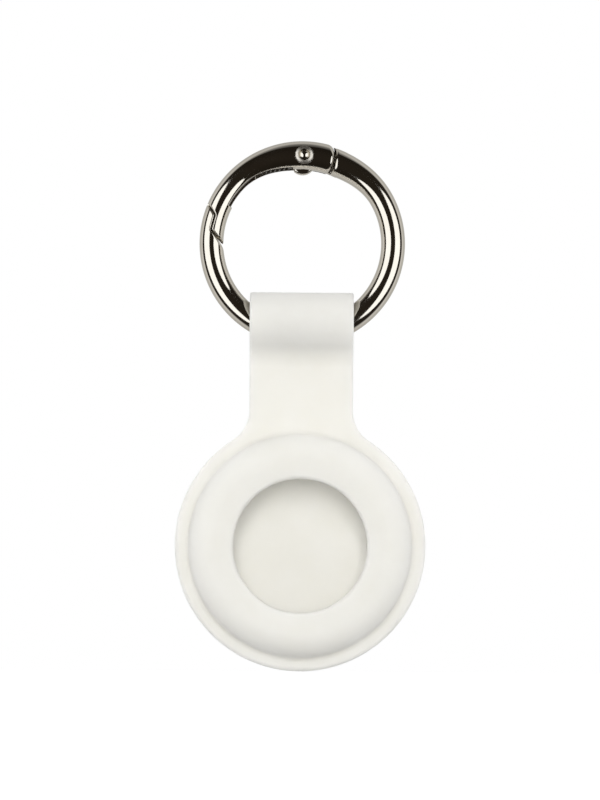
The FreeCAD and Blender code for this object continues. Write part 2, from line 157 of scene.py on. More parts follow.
# %% [markdown]
# ## White silicone
# The pocket is liquid silicone rubber, moulded in a bead-blasted tool. That gives a warm white that
# is matt but never chalky: light sinks in a couple of millimetres and comes out again, which softens
# every shadow, and the blasted tool leaves a fine grain that breaks up the gloss. A plain diffuse
# white would look like paper, so the shader scatters its light under the surface, and a fine bump
# gives the grain.

# %% White silicone material
# The blasted grain is about 0.1 mm on the real piece; it is drawn at 0.3 mm so that it shows.
GRAIN_SIZE = 0.3 * MM
GRAIN_DEPTH = 0.02 * MM
HANDLING_SIZE = 7.0 * MM
SILICONE_TINTS = ((0.3, "#EFEEEA"), (0.7, "#F2F1EE"))
SILICONE_ROUGHNESS = (0.5, 0.66)
SILICONE_IOR = 1.41
LIGHT_DEPTH = 2.0 * MM


def white_silicone():
    """Matt warm white rubber: soft shadows, a broad dull sheen, fine grain, faint handling marks."""
    material, tree, shader, place = new_material("white_silicone")
    handling = noise(tree, place, HANDLING_SIZE, detail=3.0, roughness=0.55)
    grain = noise(tree, place, GRAIN_SIZE, detail=2.0)
    give(tree, shader, {
        "Base Color": colour_ramp(tree, handling, *SILICONE_TINTS),
        "Roughness": ranged(tree, handling, SILICONE_ROUGHNESS),
        "Normal": bump(tree, grain, GRAIN_DEPTH, strength=0.12),
        "IOR": SILICONE_IOR,
        "Subsurface Weight": 1.0,
        "Subsurface Radius": (1.0, 1.0, 1.0),
        "Subsurface Scale": LIGHT_DEPTH})
    return material


SILICONE = white_silicone()
print("made", SILICONE.name)

# %% [markdown]
# ## Polished nickel
# The ring is a zinc casting, tumbled, buffed and plated with nickel. Nickel is a warm grey mirror,
# slightly yellower than chrome. What the eye reads is the room in it: dark where it faces the
# camera, white where it faces the lamps. Buffing leaves a faint waviness and a film of fine
# hairlines, and the cut edges at the seams are rubbed a little duller. The gate's hollows and the gap
# beside the hinge are painted a dark brown as painted shade, and are made rougher. The waviness is a
# very shallow bump, and the rubbed edges and the recesses come from attributes that the meshes carry.

# %% Polished nickel material
# Hairlines from buffing are a few hundredths of a millimetre; they are drawn at 0.25 mm to show.
BUFFING_WAVE = 2.2 * MM
BUFFING_DEPTH = 0.02 * MM
HAIRLINE_SIZE = 0.25 * MM
HAIRLINE_DEPTH = 0.002 * MM
SMUDGE_SIZE = 3.5 * MM
SMUDGE_RANGE = (0.3, 0.75)
NICKEL_TINTS = ((0.35, "#CDC7BB"), (0.7, "#D3CDC2"))
NICKEL_ROUGHNESS = (0.05, 0.11)
WORN_ROUGHNESS = 0.35
# A dark brown mixed into the gate's hollows and the gap beside the hinge: painted shade
RECESS_SHADE_COLOUR = "#4A3F33"


def polished_nickel():
    """A warm mirror: crisp streaks of the lamps, slightly wavy, duller on handled edges."""
    material, tree, shader, place = new_material("polished_nickel")
    smudges = noise(tree, place, SMUDGE_SIZE, detail=4.0, roughness=0.6)
    rubbed = add_node(tree, "ShaderNodeAttribute", attribute_name="edge").outputs["Fac"]
    recess = add_node(tree, "ShaderNodeAttribute", attribute_name="recess").outputs["Fac"]
    wear = maths(tree, "MAXIMUM", rubbed, recess)
    shine = ranged(tree, smudges, NICKEL_ROUGHNESS, SMUDGE_RANGE)
    plating = colour_ramp(tree, smudges, *NICKEL_TINTS)
    # The hollows and the hinge gap are mixed towards the dark brown as painted shade, not a colour of
    # the metal
    plated = add_node(tree, "ShaderNodeMix", {
        "Factor": recess, "A": plating, "B": linear(RECESS_SHADE_COLOUR)}, data_type="RGBA")
    waves = noise(tree, place, BUFFING_WAVE, detail=1.0)
    wavy = bump(tree, waves, BUFFING_DEPTH, strength=0.35)
    hairlines = noise(tree, place, HAIRLINE_SIZE, detail=2.0)
    give(tree, shader, {
        "Base Color": plated.outputs["Result"],
        "Metallic": 1.0,
        "Roughness": maths(tree, "MULTIPLY_ADD", wear, WORN_ROUGHNESS, shine),
        "Normal": bump(tree, hairlines, HAIRLINE_DEPTH, strength=0.1, Normal=wavy)})
    return material


NICKEL = polished_nickel()
print("made", NICKEL.name)

# %% [markdown]
# ## Spring steel
# The spring is drawn music wire and the plunger is turned from steel rod. Neither is plated, so both
# are a neutral grey with a satin gloss, and drawing and turning leave fine lines. Both are painted far
# darker than bare steel, as painted shade for the deep slot they sit in. A stretched noise gives the
# lines, and the roughness stays far above that of the nickel so that the two read apart.

# %% Spring steel material
DRAWN_LINE_WIDTH = 0.12 * MM
DRAWN_LINE_STRETCH = 6.0
DRAWN_LINE_DEPTH = 0.005 * MM
# The tints are far darker than bare steel: painted shade for the spring and plunger deep in the gate's
# slot
STEEL_TINTS_AND_SHADE = ((0.0, "#45423E"), (1.0, "#827F79"))
STEEL_ROUGHNESS = (0.22, 0.4)


def spring_steel():
    """Bare steel painted dark as painted shade: a neutral grey, a satin gloss, fine lines from drawing
    and turning.
    """
    material, tree, shader, place = new_material("spring_steel")
    stretch = add_node(tree, "ShaderNodeMapping", {
        "Vector": place, "Scale": (1 / DRAWN_LINE_STRETCH, 1.0, 1.0)})
    lines = noise(tree, stretch.outputs["Vector"], DRAWN_LINE_WIDTH, detail=3.0)
    give(tree, shader, {
        "Base Color": colour_ramp(tree, lines, *STEEL_TINTS_AND_SHADE),
        "Metallic": 1.0,
        "Roughness": ranged(tree, lines, STEEL_ROUGHNESS),
        "Normal": bump(tree, lines, DRAWN_LINE_DEPTH, strength=0.2)})
    return material


STEEL = spring_steel()
print("made", STEEL.name)

# %% [markdown]
# ## Shapes from distances
# Moulded rubber and polished castings have no hard edges: every corner is rolled over or filled.
# Bevels on cut meshes are fiddly, and a mirror shows each fault. So the main pieces are described by a
# distance: a formula that is negative inside the piece, positive outside and zero on its skin. Two
# shapes are joined or cut with a true fillet by mixing their distances. The formulas work in
# millimetres on whole arrays of points at once.

# %% Joining and cutting distances
def join(one, other, fillet):
    """Return the distance to two shapes joined, with a fillet in the inner corner."""
    reach = np.hypot(np.maximum(fillet - one, 0), np.maximum(fillet - other, 0))
    return np.maximum(fillet, np.minimum(one, other)) - reach


def meet(one, other, round_off):
    """Return the distance to what two shapes share, with the outer corner rounded off."""
    reach = np.hypot(np.maximum(round_off + one, 0), np.maximum(round_off + other, 0))
    return np.minimum(-round_off, np.maximum(one, other)) + reach


def cut(body, tool, round_off):
    """Return the distance to a body less a tool, with the edge of the cut rounded off."""
    return meet(body, -tool, round_off)


print(f"a fillet of 1 mm fills a square corner by {-join(0.0, 0.0, 1.0):.2f} mm")

# %% [markdown]
# ## From a distance to faces
# The formula is sampled on a grid of points. Every grid cell that the skin passes through gets one
# vertex, and every grid edge that it crosses gets one face between the four cells around it. A mesh
# made like this is closed, and a count of its edges proves it: each lies between exactly two faces.

# %% Cells and faces of the skin
def skin_cells(values):
    """Return the cells that the skin passes through, and the mean crossing point in each cell."""
    inside = values < 0
    corners = [(i, j, k) for i in (0, 1) for j in (0, 1) for k in (0, 1)]
    cells = [size - 1 for size in values.shape]
    blocks = [inside[i:i + cells[0], j:j + cells[1], k:k + cells[2]] for i, j, k in corners]
    count = sum(block.astype(int) for block in blocks)
    active = np.argwhere((count > 0) & (count < len(corners)))
    level = {corner: values[tuple((active + corner).T)] for corner in corners}
    total = np.zeros(active.shape)
    crossings = np.zeros(len(active))
    for start in corners:
        for axis in range(3):
            if start[axis] == 0:
                end = tuple(1 if a == axis else start[a] for a in range(3))
                crossed = (level[start] < 0) != (level[end] < 0)
                share = level[start][crossed] / (level[start][crossed] - level[end][crossed])
                total[crossed] += start
                total[crossed, axis] += share
                crossings[crossed] += 1
    return active, active + total / crossings[:, None]


def skin_faces(values, active):
    """Return one outward quad for each grid edge that the skin crosses."""
    number = np.full([size - 1 for size in values.shape], -1)
    number[tuple(active.T)] = np.arange(len(active))
    inside = values < 0
    quads = []
    for axis in range(3):
        side = np.eye(3, dtype=int)[(axis + 1) % 3]
        up = np.eye(3, dtype=int)[(axis + 2) % 3]
        first = np.take(inside, range(values.shape[axis] - 1), axis)
        second = np.take(inside, range(1, values.shape[axis]), axis)
        edges = np.argwhere(first != second)
        leaving = first[tuple(edges.T)]
        ring = [number[tuple((edges - shift).T)] for shift in (side + up, up, 0, side)]
        quad = np.stack(ring, axis=1)
        quad[~leaving] = quad[~leaving, ::-1]
        quads.append(quad)
    return np.concatenate(quads)


def faulty_edges(quads):
    """Return how many edges of a mesh do not lie between exactly two faces."""
    ends = np.sort(np.stack([quads, np.roll(quads, -1, axis=1)], axis=2).reshape(-1, 2), axis=1)
    _, uses = np.unique(ends, axis=0, return_counts=True)
    return int((uses != 2).sum())


print("open edges of one lone face:", faulty_edges(np.array([[0, 1, 2, 3]])))

# %% [markdown]
# ## From faces to a smooth mesh
# The vertices then slide along the slope of the distance until they lie exactly on the skin, and the
# slope is also the exact normal there, so even a mirror finish shows no facets. How sharply the slope
# of the outside turns marks the edges that hands rub, and is stored as an attribute for the material.

# %% A mesher for distances
SLOPE_STEP = 0.01
EDGE_STEP = 0.1
EDGE_OFFSET = 0.1
SETTLE_ROUNDS = 5
LEAST_STEEPNESS = 0.25


def slope(field, points, step):
    """Return the slope of a field at some points, and how sharply it turns there."""
    ahead = []
    behind = []
    for axis in np.eye(3) * step:
        ahead.append(field(*(points + axis).T))
        behind.append(field(*(points - axis).T))
    gradient = (np.array(ahead) - np.array(behind)).T / (2 * step)
    turning = (sum(ahead) + sum(behind) - 6 * field(*points.T)) / step ** 2
    return gradient, turning


def store(mesh, name, values):
    """Keep one number for each vertex of a mesh, for its material to read."""
    attribute = mesh.attributes.new(name, "FLOAT", "POINT")
    attribute.data.foreach_set("value", np.asarray(values, dtype=np.float32))


def add_object(name, data):
    """Return a new object with some data, linked to the scene."""
    made = bpy.data.objects.new(name, data)
    bpy.context.scene.collection.objects.link(made)
    return made


def straight(x, y, z):
    """Return the points of a plain box-shaped grid."""
    return x, y, z


def distance_mesh(name, field, axes, material, place=straight, outside=None, recess=None):
    """Return an object whose mesh is the skin of a field, sampled in millimetres on three axes."""
    values = field(*place(*np.meshgrid(*axes, indexing="ij")))
    active, crossing = skin_cells(values)
    if active.min() < 1 or (active.max(axis=0) >= np.array(values.shape) - 2).any():
        raise ValueError(f"the skin of {name} runs out of its grid")
    quads = skin_faces(values, active)
    spots = [np.interp(along, np.arange(len(axis)), axis) for along, axis in zip(crossing.T, axes)]
    points = np.stack(place(*spots), axis=1)
    step = axes[0][1] - axes[0][0]
    for _ in range(SETTLE_ROUNDS):
        gradient, _ = slope(field, points, SLOPE_STEP)
        steep = np.maximum((gradient ** 2).sum(axis=1), LEAST_STEEPNESS)
        move = gradient * (field(*points.T) / steep)[:, None]
        points = points - np.clip(move, -step, step)
    gradient, _ = slope(field, points, SLOPE_STEP)
    normals = gradient / np.linalg.norm(gradient, axis=1)[:, None]
    mesh = bpy.data.meshes.new(name)
    mesh.from_pydata((points * MM).tolist(), [], quads.tolist())
    mesh.shade_smooth()
    mesh.normals_split_custom_set_from_vertices(normals.tolist())
    _, turning = slope(outside or field, points, EDGE_STEP)
    store(mesh, "edge", np.clip(turning * EDGE_STEP - EDGE_OFFSET, 0, 1))
    if recess:
        store(mesh, "recess", recess(*points.T))
    mesh.materials.append(material)
    print(f"{name}: {2 * len(quads)} triangles, {faulty_edges(quads)} faulty edges")
    return add_object(name, mesh)


print("the vertices settle in", SETTLE_ROUNDS, "rounds")

# %% [markdown]
# ## The moulding: flange, strap and neck
# The plate of the holder is a disc with a strap running up from it. Where the two meet, a generous
# fillet on each side keeps the rubber from tearing. A plain smooth blend would swell the neck, so the
# fillet is drawn as the true arc: in the wedge between the strap and the disc, the distance is
# measured from the centre of the arc.

# %% Flange, strap and neck
FLANGE_RADIUS = 19.8
STRAP_HALF = 8.2
STRAP_REACH = 35.0
PLATE_HALF = 1.4
PLATE_ROUND = 0.6
NECK_FILLET = 5.6
EYE_Z = JOINTS["holder_swing"]["pos_m"][2] / MM
POCKET_Z = EYE_Z - STRAP_REACH


def arc_fillet(across, up, centre, toward, radius, rest):
    """Return a distance with a fillet arc in the wedge from its centre to a wall and to a round."""
    to_round = (np.array(toward) - np.array(centre)) / np.hypot(*np.subtract(toward, centre))
    along_round = (up - centre[1]) / to_round[1]
    along_wall = along_round * to_round[0] - (across - centre[0])
    in_wedge = (along_round > 0) & (along_wall > 0)
    arc = radius - np.hypot(across - centre[0], up - centre[1])
    return np.where(in_wedge, arc, rest)


def plate(x, y, z):
    """Distance to the flange and the strap, with their rims rounded."""
    disc = np.hypot(x, z - POCKET_Z) - FLANGE_RADIUS
    strap = np.maximum(np.abs(x) - STRAP_HALF, np.maximum(POCKET_Z - z, z - EYE_Z))
    neck_x = STRAP_HALF + NECK_FILLET
    neck_z = POCKET_Z + math.sqrt((FLANGE_RADIUS + NECK_FILLET) ** 2 - neck_x ** 2)
    corner = np.minimum(disc, strap)
    flat = arc_fillet(np.abs(x), z, (neck_x, neck_z), (0, POCKET_Z), NECK_FILLET, corner)
    return meet(flat, np.abs(y) - PLATE_HALF, PLATE_ROUND)


print(f"the pocket's centre lies {-POCKET_Z:.2f} mm below the ring's centre")

# %% [markdown]
# ## The moulding: eye
# At the top the strap thickens into a tube that the ring runs through. Seen from the side it is a
# keyhole: a round on a stem, with a hollow fillet on each side. The same wedge trick draws it, now in
# the plane of the side view, and the profile is then as wide as the strap. The bore is a little off
# centre, because the ring's bar lies low in it, and its mouths are rolled over.

# %% Eye and its bore
EYE_BORE_RADIUS = 3.583
EYE_WALL = 1.22
EYE_RISE = 0.29
EYE_FILLET = 4.4
EYE_MOUTH_ROUND = 0.3
EYE_SIDE_ROUND = 0.3
EYE_RADIUS = EYE_BORE_RADIUS + EYE_WALL
EYE_MIDDLE_Z = EYE_Z + EYE_RISE


def eye(x, y, z):
    """Distance to the tube at the strap's top, down to the thickness of the strap."""
    tube = np.hypot(y, z - EYE_MIDDLE_Z) - EYE_RADIUS
    stem = np.maximum(np.abs(y) - PLATE_HALF, np.maximum(z - EYE_MIDDLE_Z, POCKET_Z - z))
    fillet_y = PLATE_HALF + EYE_FILLET
    fillet_z = EYE_MIDDLE_Z - math.sqrt((EYE_RADIUS + EYE_FILLET) ** 2 - fillet_y ** 2)
    keyhole = np.minimum(tube, stem)
    side = arc_fillet(np.abs(y), z, (fillet_y, fillet_z), (0, EYE_MIDDLE_Z), EYE_FILLET, keyhole)
    return meet(side, np.abs(x) - STRAP_HALF, EYE_SIDE_ROUND)


def eye_bore(y, z):
    """Distance to the round way through the eye."""
    return np.hypot(y, z - EYE_Z) - EYE_BORE_RADIUS


print(f"the eye's top lies at {EYE_MIDDLE_Z + EYE_RADIUS:.2f} mm")

# %% [markdown]
# ## The moulding: pocket and window
# The pocket is a shallow round cup that stands out of the flange on both sides, with a domed rim in
# front and a flatter one behind. Its inside follows the outside at the thickness of the wall, the
# floor is dished, and the window is a round hole whose rim is rolled so that it slips over the tag.
# All of this is round about one axis, so the distances are written in radius and depth.

# %% Pocket, window and the finished moulding
POCKET_OUTSIDE = 17.6
POCKET_WALL = 1.6
FRONT_Y = -5.8
BACK_Y = 5.4
FRONT_ROUND = 4.048
BACK_ROUND = 3.6
FLOOR_DISH = 0.9
WINDOW_RADIUS = 10.5
WINDOW_ROUND = 0.6
BASE_FILLET = 0.7
SPACE_ROUND = 0.3
SILICONE_STEP = 0.32
GRID_MARGIN = 1.6


def round_cup(radius, depth, outside, front, back, front_round, back_round):
    """Distance to a round body between two depths, with its own round at each rim."""
    front_half = meet(radius - outside, front - depth, front_round)
    back_half = meet(radius - outside, depth - back, back_round)
    return np.where(depth < 0, front_half, back_half)


def silicone(x, y, z):
    """Distance to the whole moulding."""
    radius = np.hypot(x, z - POCKET_Z)
    body = np.minimum(plate(x, y, z), eye(x, y, z))
    cup = round_cup(radius, y, POCKET_OUTSIDE, FRONT_Y, BACK_Y, FRONT_ROUND, BACK_ROUND)
    body = join(body, cup, BASE_FILLET)
    inside = POCKET_OUTSIDE - POCKET_WALL
    floor_edge = inside - BACK_ROUND + POCKET_WALL
    dish = FLOOR_DISH * np.minimum(radius / floor_edge, 1.0) ** 2
    space = round_cup(radius, y, inside, FRONT_Y + POCKET_WALL, BACK_Y - POCKET_WALL - dish,
                      FRONT_ROUND - POCKET_WALL, BACK_ROUND - POCKET_WALL)
    body = cut(body, space, SPACE_ROUND)
    window = np.maximum(radius - WINDOW_RADIUS, y)
    body = cut(body, window, WINDOW_ROUND)
    return cut(body, eye_bore(y, z), EYE_MOUTH_ROUND)


holder_low, holder_high = [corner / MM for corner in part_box("silicone_holder")]
holder_axes = [np.arange(low - GRID_MARGIN, high + GRID_MARGIN, SILICONE_STEP)
               for low, high in zip(holder_low, holder_high)]
holder = distance_mesh("holder_moulding", silicone, holder_axes, SILICONE)

# %% [markdown]
# ## The ring's bar
# The ring looks like one bent round bar, though it is cast. The bar is thicker at the hinge, where it
# has to take the rivet. It swells inwards, and beside the hinge the fixed part is a little thinner all
# round than the gate is. In distances this is a torus whose inner and outer radius follow the angle
# with a soft ramp up and down.

# %% A bar that swells towards the hinge
RING_OUTER = 16.3
RING_INNER = 12.5
SWELL_DEPTH = 1.0
SWELL_START = 30.0
SWELL_FULL = 70.0
SWELL_END = 137.0
PIVOT = np.array(JOINTS["gate_pivot"]["pos_m"])[[0, 2]] / MM
HINGE_ANGLE = math.degrees(math.atan2(PIVOT[1], PIVOT[0]))


def soft_ramp(share):
    """Return a ramp from 0 to 1 that starts and ends gently."""
    share = np.clip(share, 0, 1)
    return share * share * (3 - 2 * share)


def bar(x, y, z, inset):
    """Distance to a whole round bar, which is thinner by the inset all round where it is swollen."""
    angle = np.degrees(np.arctan2(z, x)) % 360
    rising = soft_ramp((angle - SWELL_START) / (SWELL_FULL - SWELL_START))
    falling = soft_ramp((SWELL_END - angle) / (SWELL_END - HINGE_ANGLE))
    swell = np.minimum(rising, falling)
    outer = RING_OUTER - inset * swell
    inner = RING_INNER - (SWELL_DEPTH - inset) * swell
    return np.hypot(np.hypot(x, z) - (outer + inner) / 2, y) - (outer - inner) / 2


print(f"the hinge stands at {HINGE_ANGLE:.1f} degrees")

# %% [markdown]
# ## A grid that runs round the ring
# The streaks in a polished ring run along the bar, and so do the edges of its groove. A box-shaped
# grid would cross them at a slant and leave tiny steps. So the ring's grid is bent round with it: its
# three axes are the radius, the depth and the angle, and every row of the mesh follows the bar.

# %% Grid of radius, depth and angle
GRID_INNER = 10.3
GRID_OUTER = 16.9
GRID_DEPTH = 2.9


def round_ring(radius, depth, angle):
    """Return the points at a radius, a depth and an angle in degrees round the ring."""
    turn = np.radians(angle)
    return radius * np.cos(turn), depth, radius * np.sin(turn)


def ring_axes(step, first_angle, last_angle):
    """Return the axes of a grid round the ring, with cells as long as they are wide."""
    angle_step = math.degrees(step / RING_OUTER)
    return (np.arange(GRID_INNER, GRID_OUTER, step), np.arange(-GRID_DEPTH, GRID_DEPTH, step),
            np.arange(first_angle, last_angle, angle_step))


print("points of a 1 mm grid:", [len(axis) for axis in ring_axes(1.0, 0.0, 360.0)])

# %% [markdown]
# ## The latch seam
# The gate's nose tucks inside a horn of the fixed part along a stepped seam, so that a pull on the
# ring cannot drag the gate open. Three straight lines make the step. A point belongs to the gate if it
# is above the inner line, and also above the outer line or inside the lap. Writing "and" as the larger
# distance and "or" as the smaller one turns that sentence into the shape. Halfway through the bar the
# whole seam steps sideways, so nobody can look through it.

# %% Latch seam and the gate's stretch of the bar
SEAM = ((RING_OUTER, 157.8), (14.59, 162.7), (14.72, 171.9))
NOSE_TIP_ANGLE = 180.6
NOSE_RELIEF_ANGLE = 183.5
SEAM_ROUND = 0.15
LATCH_GAP = 0.19
SEAM_STEP = 0.4
STEP_CLEARANCE = 0.12
STEP_BLEND = 0.1
LOWEST_GATE_Z = -3.0


def polar(radius, angle):
    """Return the point of the ring's plane at a radius and an angle in degrees."""
    return np.array((radius * math.cos(math.radians(angle)), radius * math.sin(math.radians(angle))))


def left_of(x, z, start, end):
    """Distance from a line, negative on its left."""
    along = (end - start) / np.linalg.norm(end - start)
    return (x - start[0]) * along[1] - (z - start[1]) * along[0]


def beyond_angle(x, z, angle):
    """Distance from the line through the ring's centre at an angle, negative past that angle."""
    return left_of(x, z, np.zeros(2), polar(1.0, angle))


def gate_stretch(x, y, z, shift, tip_angle, step_depth):
    """Distance to the gate's stretch of the bar, from the hinge to the seam moved by shift."""
    points = [polar(radius, angle) for radius, angle in SEAM] + [polar(RING_INNER, tip_angle)]
    across = x - shift + SEAM_STEP * soft_ramp((y - step_depth) / STEP_BLEND + 0.5)
    outer, lap, inner = [left_of(across, z, start, end) for start, end in zip(points, points[1:])]
    latch = meet(join(outer, lap, SEAM_ROUND), inner, SEAM_ROUND)
    return np.maximum(np.maximum(latch, beyond_angle(x, z, HINGE_ANGLE)), LOWEST_GATE_Z - z)


print("seam points in mm:", [np.round(polar(*point), 2).tolist() for point in SEAM])

# %% [markdown]
# ## The tongue of the hinge
# A flat tongue of the fixed part reaches into the gate and ends in the eyelet for the rivet, which
# shows under the hinge as a small bulge, and in a flat heel that the plunger presses on. All of this
# is measured from the pivot, along the plunger's way and inwards.

# %% Tongue
TONGUE_HALF = 0.8
TONGUE_OUTER = 15.45
TONGUE_INNER = 11.75
TONGUE_ROOT_ANGLE = 64.0
TONGUE_ROUND = 0.5
TONGUE_FILLET = 0.12
ROOT_OUTER = 16.03
ROOT_REACH = 4.84
EYELET_RADIUS = 2.02
EYELET_SHIFT = 0.42
EYELET_DROP = 1.0
HEEL_DISTANCE = 2.0
RIVET_SHANK = 0.75
RUNNING_CLEARANCE = 0.06
WAY = np.array(JOINTS["plunger_slide"]["axis"])[[0, 2]]
INWARD = np.array((-WAY[1], WAY[0]))


def from_pivot(x, z):
    """Return how far a point lies from the pivot, along the plunger's way and inwards."""
    along = (x - PIVOT[0]) * WAY[0] + (z - PIVOT[1]) * WAY[1]
    inwards = (x - PIVOT[0]) * INWARD[0] + (z - PIVOT[1]) * INWARD[1]
    return np.hypot(along, inwards), along, inwards


def tongue(x, y, z):
    """Distance to the tongue with its eyelet and its flat heel."""
    reach, along, inwards = from_pivot(x, z)
    radius = np.hypot(x, z)
    root = np.maximum(radius - ROOT_OUTER, ROOT_REACH - reach)
    outside = join(radius - TONGUE_OUTER, root, TONGUE_FILLET)
    sector = np.maximum(-beyond_angle(x, z, HINGE_ANGLE), beyond_angle(x, z, TONGUE_ROOT_ANGLE))
    band = np.maximum(np.maximum(outside, TONGUE_INNER - radius), sector)
    eyelet = np.hypot(along - EYELET_SHIFT, inwards - EYELET_DROP) - EYELET_RADIUS
    eyelet = np.maximum(eyelet, along - HEEL_DISTANCE)
    crown = reach - (TONGUE_OUTER - np.hypot(*PIVOT))
    flat = np.minimum(np.minimum(band, eyelet), crown)
    solid = meet(flat, np.abs(y) - TONGUE_HALF, TONGUE_ROUND)
    return np.maximum(solid, RIVET_SHANK + RUNNING_CLEARANCE - reach)


print("the plunger's way:", np.round(WAY, 3).tolist())

# %% [markdown]
# ## The fixed part of the ring
# From the horn the fixed part runs round to a hollow shoulder beside the hinge, where the tongue
# begins. A spigot a little thinner than the bar makes the floor of the narrow gap between the shoulder
# and the gate's tail. The seam edges get a fine rounding, because it is these rolled edges that catch
# the light along every seam of a polished ring.

# %% Ring body
EDGE_ROUND = 0.28
HINGE_ROUND = 0.55
TAIL_RADIUS = 4.74
SHOULDER_RADIUS = 5.0
SHOULDER_INSET = 0.22
GAP_DEPTH = 0.4
# The gap beside the hinge is mixed this far towards the dark brown as painted shade, and made duller
GAP_SHADE_AND_DULLNESS = 0.45
SPIGOT_END = 6.5
BODY_STEP = 0.13
BODY_ANGLES = (148.0, 466.0)


def ring_body(x, y, z):
    """Distance to the fixed part of the ring."""
    reach, _, _ = from_pivot(x, z)
    stretch = gate_stretch(x, y, z, 0, NOSE_RELIEF_ANGLE, -STEP_CLEARANCE)
    solid = cut(bar(x, y, z, SHOULDER_INSET), stretch, EDGE_ROUND)
    solid = cut(solid, reach - SHOULDER_RADIUS, HINGE_ROUND)
    spigot = np.maximum(bar(x, y, z, SHOULDER_INSET + GAP_DEPTH), ROOT_REACH - reach)
    spigot = np.maximum(spigot, np.maximum(beyond_angle(x, z, HINGE_ANGLE), reach - SPIGOT_END))
    return join(np.minimum(solid, spigot), tongue(x, y, z), TONGUE_FILLET)


def in_gap(x, y, z):
    """Return how much painted shade and dullness the gap beside the hinge gets."""
    reach, _, _ = from_pivot(x, z)
    return np.where((reach > TAIL_RADIUS) & (reach < SHOULDER_RADIUS + TONGUE_FILLET), GAP_SHADE_AND_DULLNESS, 0)


body_axes = ring_axes(BODY_STEP, *BODY_ANGLES)
body = distance_mesh("ring_casting", ring_body, body_axes, NICKEL, round_ring, recess=in_gap)

# %% [markdown]
# ## The gate
# The gate is the same bar between the hinge and the seam. Its tail is forked round the tongue, its arm
# is hollow for the spring and grooved on the inside, and only the nose is solid. A pocket on each side
# seats a head of the rivet. Each hollow is one more distance that is cut from the bar.

# %% Ring gate
CHANNEL_HALF = 0.92
CHANNEL_RADIUS = 15.65
GROOVE_FRONT = -1.4
GROOVE_BACK = 0.9
GROOVE_RADIUS = 13.1
GROOVE_START_ANGLE = 97.5
GROOVE_END_ANGLE = 153.2
SPRING_SEAT = 8.13
CHANNEL_ROUND = 0.1
GROOVE_ROUND = 0.15
RIVET_SEAT = 1.95
RIVET_SEAT_RADIUS = 1.43
SEAT_ROUND = 0.03
RECESS_DEPTH = 0.06
GATE_STEP = 0.09
GATE_ANGLES = (62.0, 192.0)


def hollows(x, y, z):
    """Distances to the channel, the groove and the rivet's seats, which are cut from the gate."""
    reach, along, _ = from_pivot(x, z)
    radius = np.hypot(x, z)
    channel = np.maximum(radius - CHANNEL_RADIUS, np.abs(y) - CHANNEL_HALF)
    channel = np.maximum(channel, along - SPRING_SEAT)
    groove = np.maximum(radius - GROOVE_RADIUS, np.maximum(GROOVE_FRONT - y, y - GROOVE_BACK))
    ends = np.maximum(beyond_angle(x, z, GROOVE_START_ANGLE), -beyond_angle(x, z, GROOVE_END_ANGLE))
    seat = np.maximum(reach - RIVET_SEAT_RADIUS, RIVET_SEAT - np.abs(y))
    return channel, np.maximum(groove, ends), seat


def gate_outside(x, y, z):
    """Distance to the gate as if it were solid."""
    reach, _, _ = from_pivot(x, z)
    stretch = gate_stretch(x, y, z, LATCH_GAP, NOSE_TIP_ANGLE, STEP_CLEARANCE)
    round_bar = bar(x, y, z, 0)
    arm = meet(round_bar, stretch, EDGE_ROUND)
    tail = meet(round_bar, reach - TAIL_RADIUS, HINGE_ROUND)
    return np.minimum(arm, tail)


def ring_gate(x, y, z):
    """Distance to the gate with its hollows."""
    reach, _, _ = from_pivot(x, z)
    channel, groove, seat = hollows(x, y, z)
    solid = cut(gate_outside(x, y, z), channel, CHANNEL_ROUND)
    solid = cut(solid, groove, GROOVE_ROUND)
    solid = cut(solid, seat, SEAT_ROUND)
    return np.maximum(solid, RIVET_SHANK - reach)


# The material paints the gate's hollows dark as painted shade, and makes them rougher
def in_hollow(x, y, z):
    """Return 1 in the gate's hollows and 0 elsewhere."""
    nearest = np.minimum.reduce(hollows(x, y, z))
    return np.clip((RECESS_DEPTH - nearest) / RECESS_DEPTH, 0, 1)


gate_axes = ring_axes(GATE_STEP, *GATE_ANGLES)
gate = distance_mesh("gate_casting", ring_gate, gate_axes, NICKEL, round_ring, gate_outside, in_hollow)

# %% [markdown]
# ## A lathe
# The rivet and the plunger are turned pieces. A shape that is round about one line is quickest as a
# lathe: half its outline, given as radius and height, turned about the line. Only sharp edges stay
# crisp, and all others are shaded smooth.

# %% A lathe for turned pieces
LATHE_STEPS = 96
SHARP_ANGLE = 38.0


def arc_points(centre, radius, start, end, count):
    """Return points on an arc of the outline, between two angles in degrees."""
    angles = np.radians(np.linspace(start, end, count))
    return [(centre[0] + radius * math.cos(a), centre[1] + radius * math.sin(a)) for a in angles]


def lathe(name, outline, place, material):
    """Return an object turned from an outline of (radius, height) in millimetres, poles at its ends."""
    turn = np.linspace(0, 2 * math.pi, LATHE_STEPS, endpoint=False)
    rings = outline[1:-1]
    points = [(0, 0, outline[0][1])]
    for radius, height in rings:
        points += [(radius * math.cos(a), radius * math.sin(a), height) for a in turn]
    points.append((0, 0, outline[-1][1]))
    last = len(points) - 1
    faces = []
    for step in range(LATHE_STEPS):
        following = (step + 1) % LATHE_STEPS
        faces.append((0, 1 + following, 1 + step))
        for ring in range(len(rings) - 1):
            base = 1 + ring * LATHE_STEPS
            above = base + LATHE_STEPS
            faces.append((base + step, base + following, above + following, above + step))
        base = 1 + (len(rings) - 1) * LATHE_STEPS
        faces.append((base + step, base + following, last))
    mesh = bpy.data.meshes.new(name)
    mesh.from_pydata(points, [], faces)
    mesh.transform(place @ Matrix.Diagonal((MM, MM, MM, 1)))
    mesh.shade_smooth()
    mesh.set_sharp_from_angle(angle=math.radians(SHARP_ANGLE))
    mesh.materials.append(material)
    print(f"{name}: {len(mesh.polygons)} faces")
    return add_object(name, mesh)


